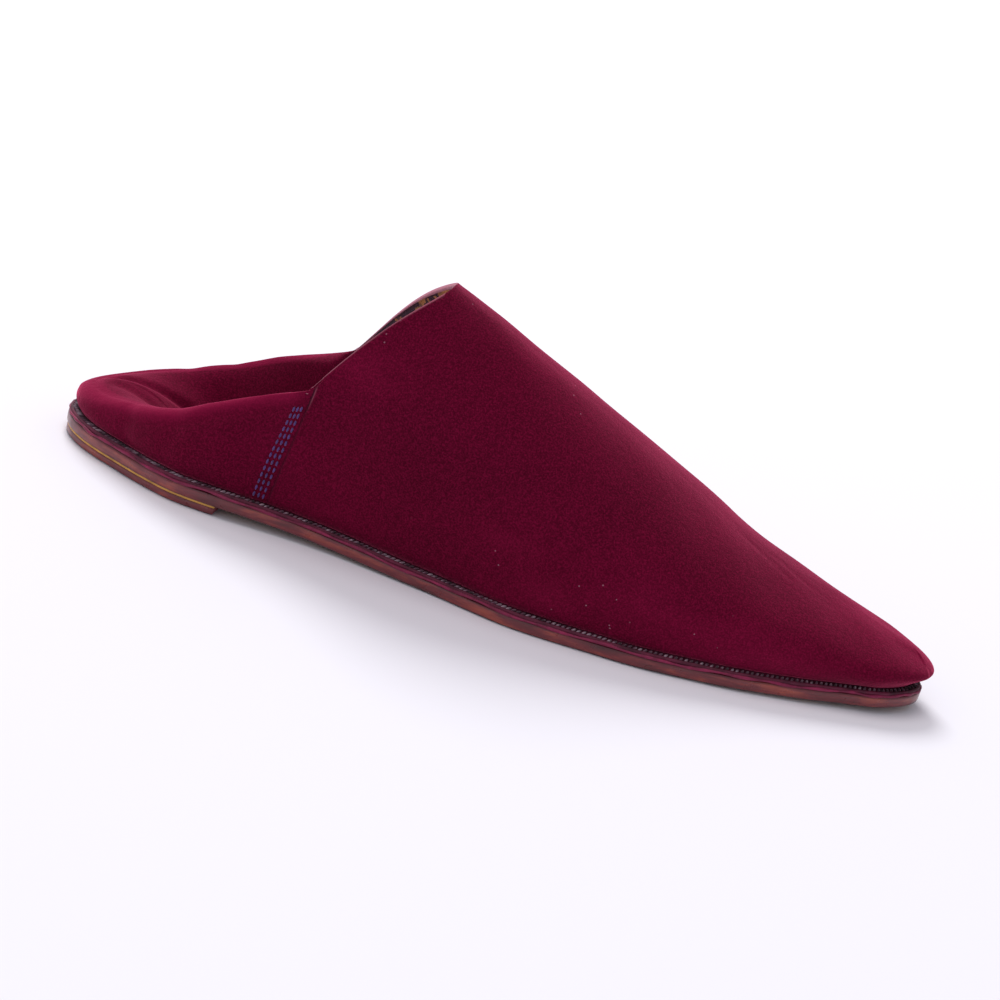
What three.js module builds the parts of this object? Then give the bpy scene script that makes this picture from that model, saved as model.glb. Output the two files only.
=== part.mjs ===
// Babouche slipper for the right foot: a leather sole with a low heel lift, a stitched welt, an insole,
// and one hollow suede upper whose vamp rises to a peak over the instep and whose back is trodden down.
//
// Millimetres. +X runs from heel to toe and +Z up. -Y is the outer (lateral) side of the foot.
// Inside this file x is counted from the back of the sole; the group is shifted at the end, so that
// the origin is the middle of the shoe's box, on the floor.

import * as THREE from "three";
import { mergeVertices } from "three/addons/utils/BufferGeometryUtils.js";

// ---------------------------------------------------------------- driving dimensions

const LENGTH = 270; // sole, from the back of the heel to the tip of the toe
const HEEL_ROUND = 34; // length of the rounded end of the heel
const TOE_ROUND = 14; // length of the rounded tip of the toe

const LIFT = 2.5; // second layer of leather under the heel
const LIFT_LENGTH = 60;
const OUTSOLE = 3.6;
const WELT = 1.2;
const WELT_WIDTH = 5.6;
const INSOLE = 2.2;
const WALL = 2; // suede and lining together
const GAP = 0.3; // between two pieces that meet

const TOE_SPRING = 2.2; // how far the tip stands off the floor
const SPRING_START = 0.64 * LENGTH;
const ARCH_BACK = 0.2 * LENGTH; // the sole comes down from the heel lift between these two
const ARCH_FRONT = 0.5 * LENGTH;

const MARGIN = 3; // the upper stands this far inside the sole's edge
const PEAK = 0.41 * LENGTH; // highest point of the vamp, over the instep
const SEAM = 0.294 * LENGTH; // where the topline meets the folded back
const WALL_BLEND = 24; // behind the seam the back's wall turns into the vamp's over this length
const FLAP_BLEND = 9; // and the turned-in flap opens out into the topline over this one
const TOPLINE_CROWN = 3.6; // the topline rises above its chord from seam to peak
const NOSE = 2.6; // the top of the toe lies this far behind its front
const NOSE_FADE = 12.5;

const ROWS = 16; // rows of points up a section of the upper
const FOLD_SHARE = 9 / 16; // share of those rows below the fold
const RIM_SHARE = 0.03; // share of the vamp's height taken by the rows above, where it meets the back
const WALL_SWELL = 1.3; // the back's wall swells by this much of the last's swell
const WALL_SWELL_AT = 0.45; // and most at this share of the wall's height
const FOLD_ROLL = 5; // the wall rolls over into the fold within this reach
const FLAP_EASE = 0.3; // share of the flap's length that eases it out of the fold and into its edge

// Sole outline, from heel (0) to toe (1): half its width, and its middle line's shift to the inner side.
const OUTLINE = [
  { at: 0.0, half: 23, middle: -1 },
  { at: 0.08, half: 26.5, middle: 0 },
  { at: 0.18, half: 31.5, middle: -3.5 },
  { at: 0.32, half: 27, middle: -6.8 },
  { at: 0.46, half: 31.5, middle: -6 },
  { at: 0.58, half: 37.7, middle: -5 },
  { at: 0.68, half: 38.5, middle: -2.4 },
  { at: 0.78, half: 34, middle: -1.4 },
  { at: 0.87, half: 25.8, middle: -1 },
  { at: 0.94, half: 17.4, middle: -0.6 },
  { at: 1.0, half: 11.2, middle: -0.5 },
];

// The last's top line: its height, its shift to the inner side, and how far the side walls swell out.
const LAST = [
  { at: 0.28, height: 82.5, shift: -11, swell: 3.3 },
  { at: 0.36, height: 84, shift: -12.4, swell: 3.7 },
  { at: 0.44, height: 77, shift: -11, swell: 4.5 },
  { at: 0.56, height: 62, shift: -6.2, swell: 4.8 },
  { at: 0.68, height: 46, shift: -1.2, swell: 5 },
  { at: 0.8, height: 30.7, shift: 1.4, swell: 5.9 },
  { at: 0.9, height: 22.2, shift: 3.4, swell: 7.4 },
  { at: 1.0, height: 15, shift: 1.8, swell: 7.8 },
];

// The folded back. fold: height of the fold. tuck: how far the fold lies inside the foot of the wall.
// ahead and opening: the turned-in flap's edge, forward of the fold and from the middle line.
// edge: height of that edge. puff: how far the flap swells up.
const BACK = [
  { at: 0.0, fold: 15.5, tuck: 3, ahead: 34, opening: 13, edge: 12, puff: 4.5 },
  { at: 0.05, fold: 17.8, tuck: 3, ahead: 27, opening: 13, edge: 12, puff: 3 },
  { at: 0.12, fold: 23, tuck: 3, ahead: 17, opening: 12, edge: 12.4, puff: 1 },
  { at: 0.2, fold: 32.8, tuck: 4.5, ahead: 9, opening: 12, edge: 15, puff: 0 },
  { at: 0.32, fold: 50, tuck: 7.8, ahead: 3, opening: 15, edge: 37, puff: 0 },
];

// ---------------------------------------------------------------- curves through the tables

// A smooth curve through one column of a table that never overshoots its rows (monotone cubic).
function curve(table, column) {
  const xs = table.map((row) => row.at * LENGTH);
  const ys = table.map((row) => row[column]);
  const rises = xs.slice(1).map((x, i) => (ys[i + 1] - ys[i]) / (x - xs[i]));
  const slopes = xs.map((_, i) => {
    const before = rises[Math.max(i - 1, 0)];
    const after = rises[Math.min(i, rises.length - 1)];
    return before * after > 0 ? (2 * before * after) / (before + after) : 0;
  });
  return (x) => {
    let i = xs.findIndex((next) => next > x) - 1;
    if (i === -2) i = xs.length - 2;
    i = Math.max(i, 0);
    const width = xs[i + 1] - xs[i];
    const s = THREE.MathUtils.clamp((x - xs[i]) / width, 0, 1);
    const start = ys[i] * (1 + 2 * s) + slopes[i] * width * s;
    const end = ys[i + 1] * (3 - 2 * s) - slopes[i + 1] * width * (1 - s);
    return start * (1 - s) ** 2 + end * s ** 2;
  };
}

const halfWidth = curve(OUTLINE, "half");
const middle = curve(OUTLINE, "middle");
const lastHeight = curve(LAST, "height");
const lastShift = curve(LAST, "shift");
const swell = curve(LAST, "swell");
const back = Object.fromEntries(
  ["fold", "tuck", "ahead", "opening", "edge", "puff"].map((name) => [name, curve(BACK, name)]),
);
const { smoothstep, lerp, clamp } = THREE.MathUtils;

// ---------------------------------------------------------------- the sole's outline

// 1 along the sole, falling to 0 as a quarter ellipse at the heel's back and the toe's tip.
function roundedEnds(x) {
  const heel = clamp((HEEL_ROUND - x) / HEEL_ROUND, 0, 1);
  const toe = clamp((x - LENGTH + TOE_ROUND) / TOE_ROUND, 0, 1);
  return Math.sqrt(1 - heel ** 2) * Math.sqrt(1 - toe ** 2);
}

// turn goes once round the shoe: 0 at the toe's tip, -1 to 0 the outer side, 0 to 1 the inner side.
function along(turn) {
  return (LENGTH * (1 + Math.cos(Math.PI * turn))) / 2;
}

function outline(turn) {
  const x = along(turn);
  const side = Math.sign(Math.sin(Math.PI * turn));
  return new THREE.Vector2(x, middle(x) + side * halfWidth(x) * roundedEnds(x));
}

// The unit vector that points out of the outline.
function outward(turn) {
  const step = 0.004;
  const tangent = outline(turn + step).sub(outline(turn - step)).normalize();
  return new THREE.Vector2(tangent.y, -tangent.x);
}

function insetOutline(turn, inset) {
  return outline(turn).addScaledVector(outward(turn), -inset);
}

// ---------------------------------------------------------------- heights along the shoe

// The underside of the outsole: on the lift at the heel, down through the arch, flat, then toe spring.
function underside(x) {
  const arch = (LIFT + GAP) * (1 - smoothstep(x, ARCH_BACK, ARCH_FRONT));
  const spring = clamp((x - SPRING_START) / (LENGTH - SPRING_START), 0, 1.1);
  return arch + TOE_SPRING * spring ** 2;
}

function weltTop(x) {
  return underside(x) + OUTSOLE + GAP + WELT;
}

// 1 at the toe's tip, fading out behind it.
function nearToe(x) {
  return Math.exp((x - LENGTH) / NOSE_FADE);
}

// Where a section of the vamp that starts at x meets the last's top line.
function spineAt(x) {
  return x - MARGIN - NOSE * nearToe(x);
}

// The last's slope along its top line.
function lastSlope(x) {
  const step = 1;
  return (lastHeight(x + step) - lastHeight(x - step)) / (2 * step);
}

function topline(x) {
  if (x < SEAM) return back.fold(x);
  const share = (x - SEAM) / (PEAK - SEAM);
  const chord = lerp(back.fold(SEAM), lastHeight(spineAt(PEAK)), share);
  return chord + TOPLINE_CROWN * 4 * share * (1 - share);
}

// ---------------------------------------------------------------- the upper's outer surface

function bezier(a, b, c, d, s) {
  const point = new THREE.Vector3();
  return point
    .addScaledVector(a, (1 - s) ** 3)
    .addScaledVector(b, 3 * s * (1 - s) ** 2)
    .addScaledVector(c, 3 * s ** 2 * (1 - s))
    .addScaledVector(d, s ** 3);
}

function foot(turn) {
  const at = insetOutline(turn, MARGIN);
  return new THREE.Vector3(at.x, at.y, weltTop(at.x) + GAP);
}

// A section of the vamp from the foot of the wall over the last to its top line, or to the topline.
function vamp(turn, rise) {
  const x = along(turn);
  const base = foot(turn);
  const spineX = spineAt(x);
  const spine = new THREE.Vector3(spineX, lastShift(spineX), lastHeight(spineX));
  const height = spine.z - base.z;
  const cut = clamp((topline(x) - base.z) / height, 0, 1);
  const last = x < PEAK ? Math.asin(cut) : Math.PI / 2;
  const low = (1 - RIM_SHARE) * Math.min(rise / FOLD_SHARE, 1);
  const crowded = low + RIM_SHARE * Math.max((rise - FOLD_SHARE) / (1 - FOLD_SHARE), 0);
  const angle = last * lerp(crowded, rise, smoothstep(x, SEAM, PEAK));
  const out = new THREE.Vector3(base.x - spine.x, base.y - spine.y, 0);
  const reach = out.length();
  const spread = reach * Math.cos(angle) + swell(x) * Math.sin(2 * angle) * Math.cos(angle);
  const point = spine.clone().addScaledVector(out.normalize(), spread);
  const fall = lastSlope(spineX) * nearToe(x) * (point.x - spineX) * Math.sin(angle) ** 2;
  return point.setZ(base.z + height * Math.sin(angle) + fall);
}

// A section of the trodden-down back: up the wall, over the fold and along the flap to its edge.
function quarter(turn, rise) {
  const x = along(turn);
  const side = Math.sign(Math.sin(Math.PI * turn));
  const base = foot(turn);
  const ridge = insetOutline(turn, MARGIN + back.tuck(x));
  const fold = new THREE.Vector3(ridge.x, ridge.y, back.fold(x));
  const edgeY = middle(x) + side * back.opening(x) * roundedEnds(x);
  const edge = new THREE.Vector3(x + back.ahead(x), edgeY, back.edge(x));
  const inward = edge.clone().sub(fold).setZ(0).normalize();
  const height = fold.z - base.z;
  if (rise < FOLD_SHARE) {
    const bulged = base.clone().addScaledVector(inward, -WALL_SWELL * swell(x));
    bulged.z += WALL_SWELL_AT * height;
    const shoulder = fold.clone().addScaledVector(inward, -Math.min(height / 2, FOLD_ROLL));
    return bezier(base, bulged, shoulder, fold, rise / FOLD_SHARE);
  }
  const slope = edge.clone().sub(fold);
  const near = fold.clone().addScaledVector(inward, FLAP_EASE * slope.length());
  const far = edge.clone().addScaledVector(slope, -FLAP_EASE);
  near.z += back.puff(x);
  far.z += back.puff(x);
  return bezier(fold, near, far, edge, (rise - FOLD_SHARE) / (1 - FOLD_SHARE));
}

function upperSurface(turn, rise) {
  const x = along(turn);
  const blend = rise > FOLD_SHARE ? FLAP_BLEND : WALL_BLEND;
  const share = smoothstep(x, SEAM - blend, SEAM);
  if (share === 0) return quarter(turn, rise);
  if (share === 1) return vamp(turn, rise);
  return quarter(turn, rise).lerp(vamp(turn, rise), share);
}

// ---------------------------------------------------------------- closed solids

// Stations round the shoe: evenly spread, and closer behind the peak, where the two sides part.
function turnOf(x) {
  return Math.acos((2 * x) / LENGTH - 1) / Math.PI;
}

function stations() {
  const spread = (from, to, count, power = 1) =>
    Array.from({ length: count }, (_, i) => lerp(from, to, (i / count) ** power));
  const half = [
    ...spread(0, turnOf(PEAK), 20),
    ...spread(turnOf(PEAK), turnOf(SEAM), 8, 1.7),
    ...spread(turnOf(SEAM), turnOf(SEAM - FLAP_BLEND), 3),
    ...spread(turnOf(SEAM - FLAP_BLEND), 1, 15),
  ];
  return [...half, 1, ...half.slice(1).reverse().map((turn) => -turn)];
}

const TURNS = stations();
const WELD = 1e-3; // points closer than this are one

// Points round the outline for each of some rings { inset, height(x) }.
function ringPoints(rings, turns = TURNS, place = insetOutline) {
  return rings.flatMap(({ inset, height }) =>
    turns.map((turn) => {
      const at = place(turn, inset);
      return new THREE.Vector3(at.x, at.y, height(at.x));
    }),
  );
}

// Triangles between each two neighbouring rings of points; every ring has the same count.
function ringFaces(ringCount, count) {
  const faces = [];
  for (let ring = 0; ring + 1 < ringCount; ring++) {
    for (let i = 0; i < count; i++) {
      const a = ring * count + i;
      const b = ring * count + ((i + 1) % count);
      faces.push([a, b, b + count], [a, b + count, a + count]);
    }
  }
  return faces;
}

function geometryOf(points, faces) {
  const geometry = new THREE.BufferGeometry();
  const numbers = points.flatMap((point) => point.toArray());
  geometry.setAttribute("position", new THREE.Float32BufferAttribute(numbers, 3));
  geometry.setIndex(faces.flat());
  return geometry;
}

// Gives an open sheet a wall: a second sheet inside it, and a rim along each of its free edges.
// The wall's foot is cut off level with the sheet's first ring of points.
function thicken(sheet, wall, ringCount) {
  sheet.computeVertexNormals();
  const count = sheet.getAttribute("position").count;
  const vectors = (name) =>
    Array.from({ length: count }, (_, i) =>
      new THREE.Vector3().fromBufferAttribute(sheet.getAttribute(name), i),
    );
  const points = vectors("position");
  const normals = vectors("normal");
  for (let i = 0; i < count; i++) {
    const inner = points[i].clone().addScaledVector(normals[i], -wall);
    if (i < ringCount) inner.z = points[i].z;
    points.push(inner);
  }
  const index = Array.from(sheet.index.array);
  const faces = [];
  const edges = new Map();
  for (let i = 0; i < index.length; i += 3) {
    const [a, b, c] = index.slice(i, i + 3);
    if (a === b || b === c || c === a) continue;
    faces.push([a, b, c], [c + count, b + count, a + count]);
    for (const [from, to] of [[a, b], [b, c], [c, a]]) edges.set(`${from} ${to}`, [from, to]);
  }
  for (const [from, to] of edges.values()) {
    if (edges.has(`${to} ${from}`)) continue;
    faces.push([to, from, from + count], [to, from + count, to + count]);
  }
  return geometryOf(points, faces);
}

function upperGeometry() {
  const points = [];
  for (let row = 0; row <= ROWS; row++) {
    for (const turn of TURNS) points.push(upperSurface(turn, row / ROWS));
  }
  const faces = ringFaces(ROWS + 1, TURNS.length);
  return thicken(mergeVertices(geometryOf(points, faces), WELD), WALL, TURNS.length);
}

// A plate that follows the outline, closed by a cap below and above.
function plateGeometry(rings, turns, place) {
  const points = ringPoints(rings, turns, place);
  const count = points.length / rings.length;
  const faces = ringFaces(rings.length, count);
  const top = (rings.length - 1) * count;
  for (let i = 0; i < count / 2; i++) {
    const [a, b, c, d] = [(count - i) % count, count - i - 1, i + 1, i];
    faces.push([a, b, c], [a, c, d]);
    faces.push([top + b, top + a, top + c], [top + c, top + a, top + d]);
  }
  const kept = faces.filter(([a, b, c]) => a !== b && b !== c && c !== a);
  return geometryOf(points, kept);
}

function outsoleGeometry() {
  const lift = (amount) => (x) => underside(x) + amount;
  return plateGeometry([
    { inset: 1, height: lift(0) },
    { inset: 0.2, height: lift(0.5) },
    { inset: 0, height: lift(OUTSOLE - 0.4) },
    { inset: 0.4, height: lift(OUTSOLE) },
  ]);
}

function insoleGeometry() {
  const lift = (amount) => (x) => underside(x) + OUTSOLE + GAP + amount;
  return plateGeometry([
    { inset: WELT_WIDTH + 2 * GAP, height: lift(0) },
    { inset: WELT_WIDTH + 2 * GAP, height: lift(INSOLE - 0.5) },
    { inset: WELT_WIDTH + 2 * GAP + 0.5, height: lift(INSOLE) },
  ]);
}

// The welt is a ring with a hole: its rings of points go down outside and come back up inside.
function weltGeometry() {
  const lift = (amount) => (x) => underside(x) + OUTSOLE + GAP + amount;
  const rings = [
    { inset: WELT_WIDTH, height: lift(0) },
    { inset: 0.6, height: lift(0) },
    { inset: 0.3, height: lift(WELT / 2) },
    { inset: 0.6, height: lift(WELT) },
    { inset: WELT_WIDTH, height: lift(WELT) },
    { inset: WELT_WIDTH, height: lift(0) },
  ];
  return mergeVertices(geometryOf(ringPoints(rings), ringFaces(rings.length, TURNS.length)), WELD);
}

// The heel lift is the outline's back end, cut off straight at the breast of the heel.
function heelLiftGeometry() {
  const breast = turnOf(LIFT_LENGTH);
  const count = 14;
  const oneSide = Array.from({ length: count }, (_, i) => lerp(breast, 1, i / count));
  const turns = [0, ...oneSide, 1, ...[...oneSide].reverse().map((turn) => -turn)];
  const place = (turn, inset) => {
    const at = insetOutline(turn, inset + 0.4);
    at.x = Math.min(at.x, LIFT_LENGTH - inset);
    return at;
  };
  const rings = [
    { inset: 0.8, height: () => 0 },
    { inset: 0, height: () => 0.6 },
    { inset: 0, height: (x) => underside(x) - GAP },
  ];
  return plateGeometry(rings, turns, place);
}

// ---------------------------------------------------------------- finishes and assembly

const FINISHES = {
  suede: { color: 0x5a1230, roughness: 0.95, metalness: 0 },
  sole_leather: { color: 0x6e2a20, roughness: 0.45, metalness: 0 },
  welt_leather: { color: 0x4a1a24, roughness: 0.7, metalness: 0 },
  insole_leather: { color: 0xb98a5e, roughness: 0.7, metalness: 0 },
};

function piece(name, geometry, finish) {
  const mesh = new THREE.Mesh(geometry, new THREE.MeshStandardMaterial(FINISHES[finish]));
  mesh.name = name;
  return mesh;
}

const slipper = new THREE.Group();
slipper.add(
  piece("heel_lift", heelLiftGeometry(), "sole_leather"),
  piece("outsole", outsoleGeometry(), "sole_leather"),
  piece("welt", weltGeometry(), "welt_leather"),
  piece("insole", insoleGeometry(), "insole_leather"),
  piece("upper", upperGeometry(), "suede"),
);

const box = new THREE.Box3().setFromObject(slipper, true);
const centre = box.getCenter(new THREE.Vector3());
slipper.position.set(-centre.x, -centre.y, -box.min.z);

export default slipper;
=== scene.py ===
"""Babouche slipper: the finished looks of each piece, built round the slipper's solid model.

Sizes in the tables and the shape functions are millimetres, with x counted forward from the back of
the sole, +Y towards the inner side of the foot and z up from the floor. Meshes are made in metres.
"""

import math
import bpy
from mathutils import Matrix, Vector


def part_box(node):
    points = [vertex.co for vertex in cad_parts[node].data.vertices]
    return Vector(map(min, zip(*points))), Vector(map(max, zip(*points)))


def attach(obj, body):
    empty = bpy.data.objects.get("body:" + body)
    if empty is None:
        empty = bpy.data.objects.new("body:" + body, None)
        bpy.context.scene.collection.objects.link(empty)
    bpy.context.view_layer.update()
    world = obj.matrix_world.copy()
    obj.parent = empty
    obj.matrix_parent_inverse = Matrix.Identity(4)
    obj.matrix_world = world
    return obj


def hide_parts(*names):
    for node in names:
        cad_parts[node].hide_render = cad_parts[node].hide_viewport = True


bl_info = {
    "name": "Babouche slipper",
    "version": (1, 0, 0),
    "blender": (4, 5, 0),
    "location": "View3D > Sidebar > Slipper",
    "description": "Builds the suede upper, seams, welt and stitched leather sole of a babouche slipper",
    "category": "Object",
}

import bmesh
import bpy
import numpy as np
from mathutils import Matrix, Vector

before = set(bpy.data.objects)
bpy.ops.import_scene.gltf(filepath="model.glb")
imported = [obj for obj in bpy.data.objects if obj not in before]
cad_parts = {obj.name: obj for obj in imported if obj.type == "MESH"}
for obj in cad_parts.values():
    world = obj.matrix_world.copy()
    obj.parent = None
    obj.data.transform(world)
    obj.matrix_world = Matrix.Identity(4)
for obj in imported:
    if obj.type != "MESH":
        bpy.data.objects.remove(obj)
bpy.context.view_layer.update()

MM = 0.001

# ---------------- the slipper's form

LENGTH = 270.0
HEEL_ROUND = 34.0
TOE_ROUND = 14.0
LIFT = 2.5  # thickness of the heel's extra layer
LIFT_LENGTH = 60.0
OUTSOLE = 3.6
WELT = 1.2
WELT_WIDTH = 5.6
INSOLE = 2.2
WALL = 1.75  # suede and lining together
GAP = 0.3
TOE_SPRING = 2.2
SPRING_START = 0.64 * LENGTH
ARCH_BACK = 0.2 * LENGTH
ARCH_FRONT = 0.5 * LENGTH
MARGIN = 3.0  # the upper stands this far inside the sole's edge
PEAK = 0.41 * LENGTH
SEAM = 0.294 * LENGTH
SEAM_FOOT = 74.5  # the lapped edge meets the welt here
SEAM_AHEAD = 1.0  # and the fold this far ahead of SEAM
WALL_BLEND = 24.0  # behind the seam the back's wall turns into the vamp's over this length
FLAP_BLEND = 9.0  # and the turned-in flap opens out into the topline over this one
TOPLINE_CROWN = 3.6
NOSE = 2.6  # the top of the toe lies this far behind its front
NOSE_FADE = 12.5
FOLD_SHARE = 9 / 16  # rise of the fold
RIM_SHARE = 0.03
WALL_SWELL = 1.3
WALL_SWELL_AT = 0.45
FOLD_ROLL = 5.0
FLAP_EASE = 0.3
FLARE = 2.4  # how far the inner side's topline leans out
BLEND_RISE = 0.12  # share of the rise over which one blend length eases into the other

# Sole outline: half its width, and its middle line's shift to the inner side.
OUTLINE = {
    "at": (0, 0.08, 0.18, 0.32, 0.46, 0.58, 0.68, 0.78, 0.87, 0.94, 1),
    "half": (23, 26.5, 31.5, 27, 31.5, 37.7, 38.5, 34, 25.8, 17.4, 11.2),
    "middle": (-1, 0, -3.5, -6.8, -6, -5, -2.4, -1.4, -1, -0.6, -0.5),
}
# The last's top line: height, shift to the inner side, and how far the side walls swell out.
LAST = {
    "at": (0.28, 0.36, 0.44, 0.56, 0.68, 0.8, 0.9, 1),
    "height": (82.5, 84, 77, 62, 46, 30.7, 22.2, 15),
    "shift": (-11, -12.4, -11, -6.2, -1.2, 1.4, 3.4, 1.8),
    "swell": (3.3, 3.7, 4.5, 4.8, 5, 5.9, 7.4, 7.8),
}
# The folded back: height and tuck of the fold, then the turned-in flap's edge and its puff.
BACK = {
    "at": (0, 0.05, 0.12, 0.2, 0.32),
    "fold": (15.5, 17.8, 23, 32.8, 50),
    "tuck": (3, 3, 3, 4.5, 7.8),
    "ahead": (34, 27, 17, 9, 3),
    "opening": (13, 13, 12, 12, 15),
    "edge": (12, 12, 12.4, 15, 37),
    "puff": (4.5, 3, 1, 0, 0),
}


def curve(table, column):
    """A smooth curve through one column that never overshoots its rows (monotone cubic)."""
    xs = np.array(table["at"], float) * LENGTH
    ys = np.array(table[column], float)
    rises = np.diff(ys) / np.diff(xs)
    before, after = np.r_[rises[0], rises], np.r_[rises, rises[-1]]
    total = np.where(before + after == 0, 1, before + after)
    slopes = np.where(before * after > 0, 2 * before * after / total, 0.0)

    def value(x):
        x = np.asarray(x, float)
        i = np.clip(np.searchsorted(xs, x, side="right") - 1, 0, len(xs) - 2)
        width = xs[i + 1] - xs[i]
        s = np.clip((x - xs[i]) / width, 0, 1)
        start = ys[i] * (1 + 2 * s) + slopes[i] * width * s
        end = ys[i + 1] * (3 - 2 * s) - slopes[i + 1] * width * (1 - s)
        return start * (1 - s) ** 2 + end * s**2

    return value


half_width, middle = curve(OUTLINE, "half"), curve(OUTLINE, "middle")
last_height, last_shift, swell = (curve(LAST, name) for name in ("height", "shift", "swell"))
back = {name: curve(BACK, name) for name in BACK if name != "at"}


def smoothstep(x, low, high):
    """0 on low's side, 1 on high's side, and a smooth step between them."""
    s = np.clip((np.asarray(x, float) - low) / (high - low), 0, 1)
    return s * s * (3 - 2 * s)


def bump(distance, width):
    """1 at no distance, and almost 0 past twice the width."""
    return np.exp(-((distance / width) ** 2))


def along(turn):
    """Distance from the back of the sole: turn 0 is the toe's tip, and 1 or -1 the back of the heel."""
    return LENGTH * (1 + np.cos(np.pi * turn)) / 2


def turn_of(x):
    """The turn, on the inner side, at a distance from the back of the sole."""
    return math.acos(2 * x / LENGTH - 1) / math.pi


def rounded_ends(x):
    """1 along the sole, falling to 0 as a quarter ellipse at the heel's back and the toe's tip."""
    heel = np.clip((HEEL_ROUND - x) / HEEL_ROUND, 0, 1)
    toe = np.clip((x - LENGTH + TOE_ROUND) / TOE_ROUND, 0, 1)
    return np.sqrt(1 - heel**2) * np.sqrt(1 - toe**2)


def outline(turn):
    """The sole's outline, seen from above."""
    x = along(turn)
    side = np.sign(np.sin(np.pi * turn))
    return np.stack([x, middle(x) + side * half_width(x) * rounded_ends(x)], -1)


def outward(turn):
    """The outline's outward direction."""
    step = 0.004
    tangent = outline(turn + step) - outline(turn - step)
    tangent /= np.linalg.norm(tangent, axis=-1, keepdims=True)
    return np.stack([tangent[..., 1], -tangent[..., 0]], -1)


def inset_outline(turn, inset):
    """The outline moved inwards."""
    return outline(turn) - outward(turn) * np.asarray(inset, float)[..., None]


def underside(x):
    """Height of the outsole's underside: above the heel lift, on the floor, and up at the toe."""
    arch = (LIFT + GAP) * (1 - smoothstep(x, ARCH_BACK, ARCH_FRONT))
    spring = np.clip((x - SPRING_START) / (LENGTH - SPRING_START), 0, 1.1)
    return arch + TOE_SPRING * spring**2


def welt_foot(x):
    """Height that the welt and the insole lie on, a gap above the outsole."""
    return underside(x) + OUTSOLE + GAP


def welt_top(x):
    return welt_foot(x) + WELT


def near_toe(x):
    """1 at the toe's tip, fading out behind it."""
    return np.exp((x - LENGTH) / NOSE_FADE)


def spine_at(x):
    """Where the section that stands on the sole at x meets the last's top line."""
    return x - MARGIN - NOSE * near_toe(x)


def topline(x):
    """Height of the fold, and ahead of the seam that of the topline up to the peak."""
    share = (x - SEAM) / (PEAK - SEAM)
    low, high = back["fold"](SEAM), last_height(spine_at(PEAK))
    rise = low + (high - low) * share + TOPLINE_CROWN * 4 * share * (1 - share)
    return np.where(x < SEAM, back["fold"](x), rise)


def foot(turn):
    """Foot of the upper's wall, just above the welt."""
    at = inset_outline(turn, np.full(np.shape(turn), MARGIN))
    return np.concatenate([at, (welt_top(at[..., 0]) + GAP)[..., None]], -1)


def vamp(turn, rise):
    """A point of the vamp: up the last's wall from its foot to the top line or the topline."""
    x = along(turn)
    base = foot(turn)
    spine_x = spine_at(x)
    spine = np.stack([spine_x, last_shift(spine_x), last_height(spine_x)], -1)
    height = spine[..., 2] - base[..., 2]
    cut = np.clip((topline(x) - base[..., 2]) / height, 0, 1)
    last = np.where(x < PEAK - 1e-6, np.arcsin(cut), np.pi / 2)
    low = (1 - RIM_SHARE) * np.minimum(rise / FOLD_SHARE, 1)
    crowded = low + RIM_SHARE * np.maximum((rise - FOLD_SHARE) / (1 - FOLD_SHARE), 0)
    even = smoothstep(x, SEAM, PEAK)
    angle = last * (crowded * (1 - even) + rise * even)
    out = base[..., :2] - spine[..., :2]
    reach = np.linalg.norm(out, axis=-1)
    out = out / np.maximum(reach, 1e-9)[..., None]
    spread = reach * np.cos(angle) + swell(x) * np.sin(2 * angle) * np.cos(angle)
    slope = (last_height(spine_x + 1) - last_height(spine_x - 1)) / 2
    fall = slope * near_toe(x) * out[..., 0] * spread * np.sin(angle) ** 2
    flat = spine[..., :2] + out * spread[..., None]
    return np.concatenate([flat, (base[..., 2] + height * np.sin(angle) + fall)[..., None]], -1)


def bezier(a, b, c, d, s):
    """A cubic curve from a to d, drawn towards b and c."""
    s = s[..., None]
    return a * (1 - s) ** 3 + 3 * b * s * (1 - s) ** 2 + 3 * c * s**2 * (1 - s) + d * s**3


def quarter(turn, rise):
    """A point of the trodden-down back: up the wall, over the fold, along the flap to its edge."""
    x = along(turn)
    side = np.sign(np.sin(np.pi * turn))
    base = foot(turn)
    ridge = inset_outline(turn, MARGIN + back["tuck"](x))
    fold = np.concatenate([ridge, back["fold"](x)[..., None]], -1)
    edge_y = middle(x) + side * back["opening"](x) * rounded_ends(x)
    edge = np.stack([x + back["ahead"](x), edge_y, back["edge"](x)], -1)
    inward = (edge - fold) * (1, 1, 0)
    inward = inward / np.linalg.norm(inward, axis=-1, keepdims=True)
    height = fold[..., 2] - base[..., 2]
    up = np.array((0, 0, 1.0))
    bulged = base - inward * (WALL_SWELL * swell(x))[..., None] + up * (WALL_SWELL_AT * height)[..., None]
    shoulder = fold - inward * np.minimum(height / 2, FOLD_ROLL)[..., None]
    wall = bezier(base, bulged, shoulder, fold, np.clip(rise / FOLD_SHARE, 0, 1))
    slope = edge - fold
    puff = up * back["puff"](x)[..., None]
    near = fold + inward * (FLAP_EASE * np.linalg.norm(slope, axis=-1))[..., None] + puff
    far = edge - FLAP_EASE * slope + puff
    flap = bezier(fold, near, far, edge, np.clip((rise - FOLD_SHARE) / (1 - FOLD_SHARE), 0, 1))
    return np.where((rise < FOLD_SHARE)[..., None], wall, flap)


def upper_surface(turn, rise):
    """A point of the whole upper: just behind the seam the back turns into the vamp."""
    x = along(turn)
    over_fold = smoothstep(rise, FOLD_SHARE, FOLD_SHARE + BLEND_RISE)
    blend = WALL_BLEND + (FLAP_BLEND - WALL_BLEND) * over_fold
    share = smoothstep(x, SEAM - blend, SEAM)[..., None]
    return quarter(turn, rise) * (1 - share) + vamp(turn, rise) * share


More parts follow.
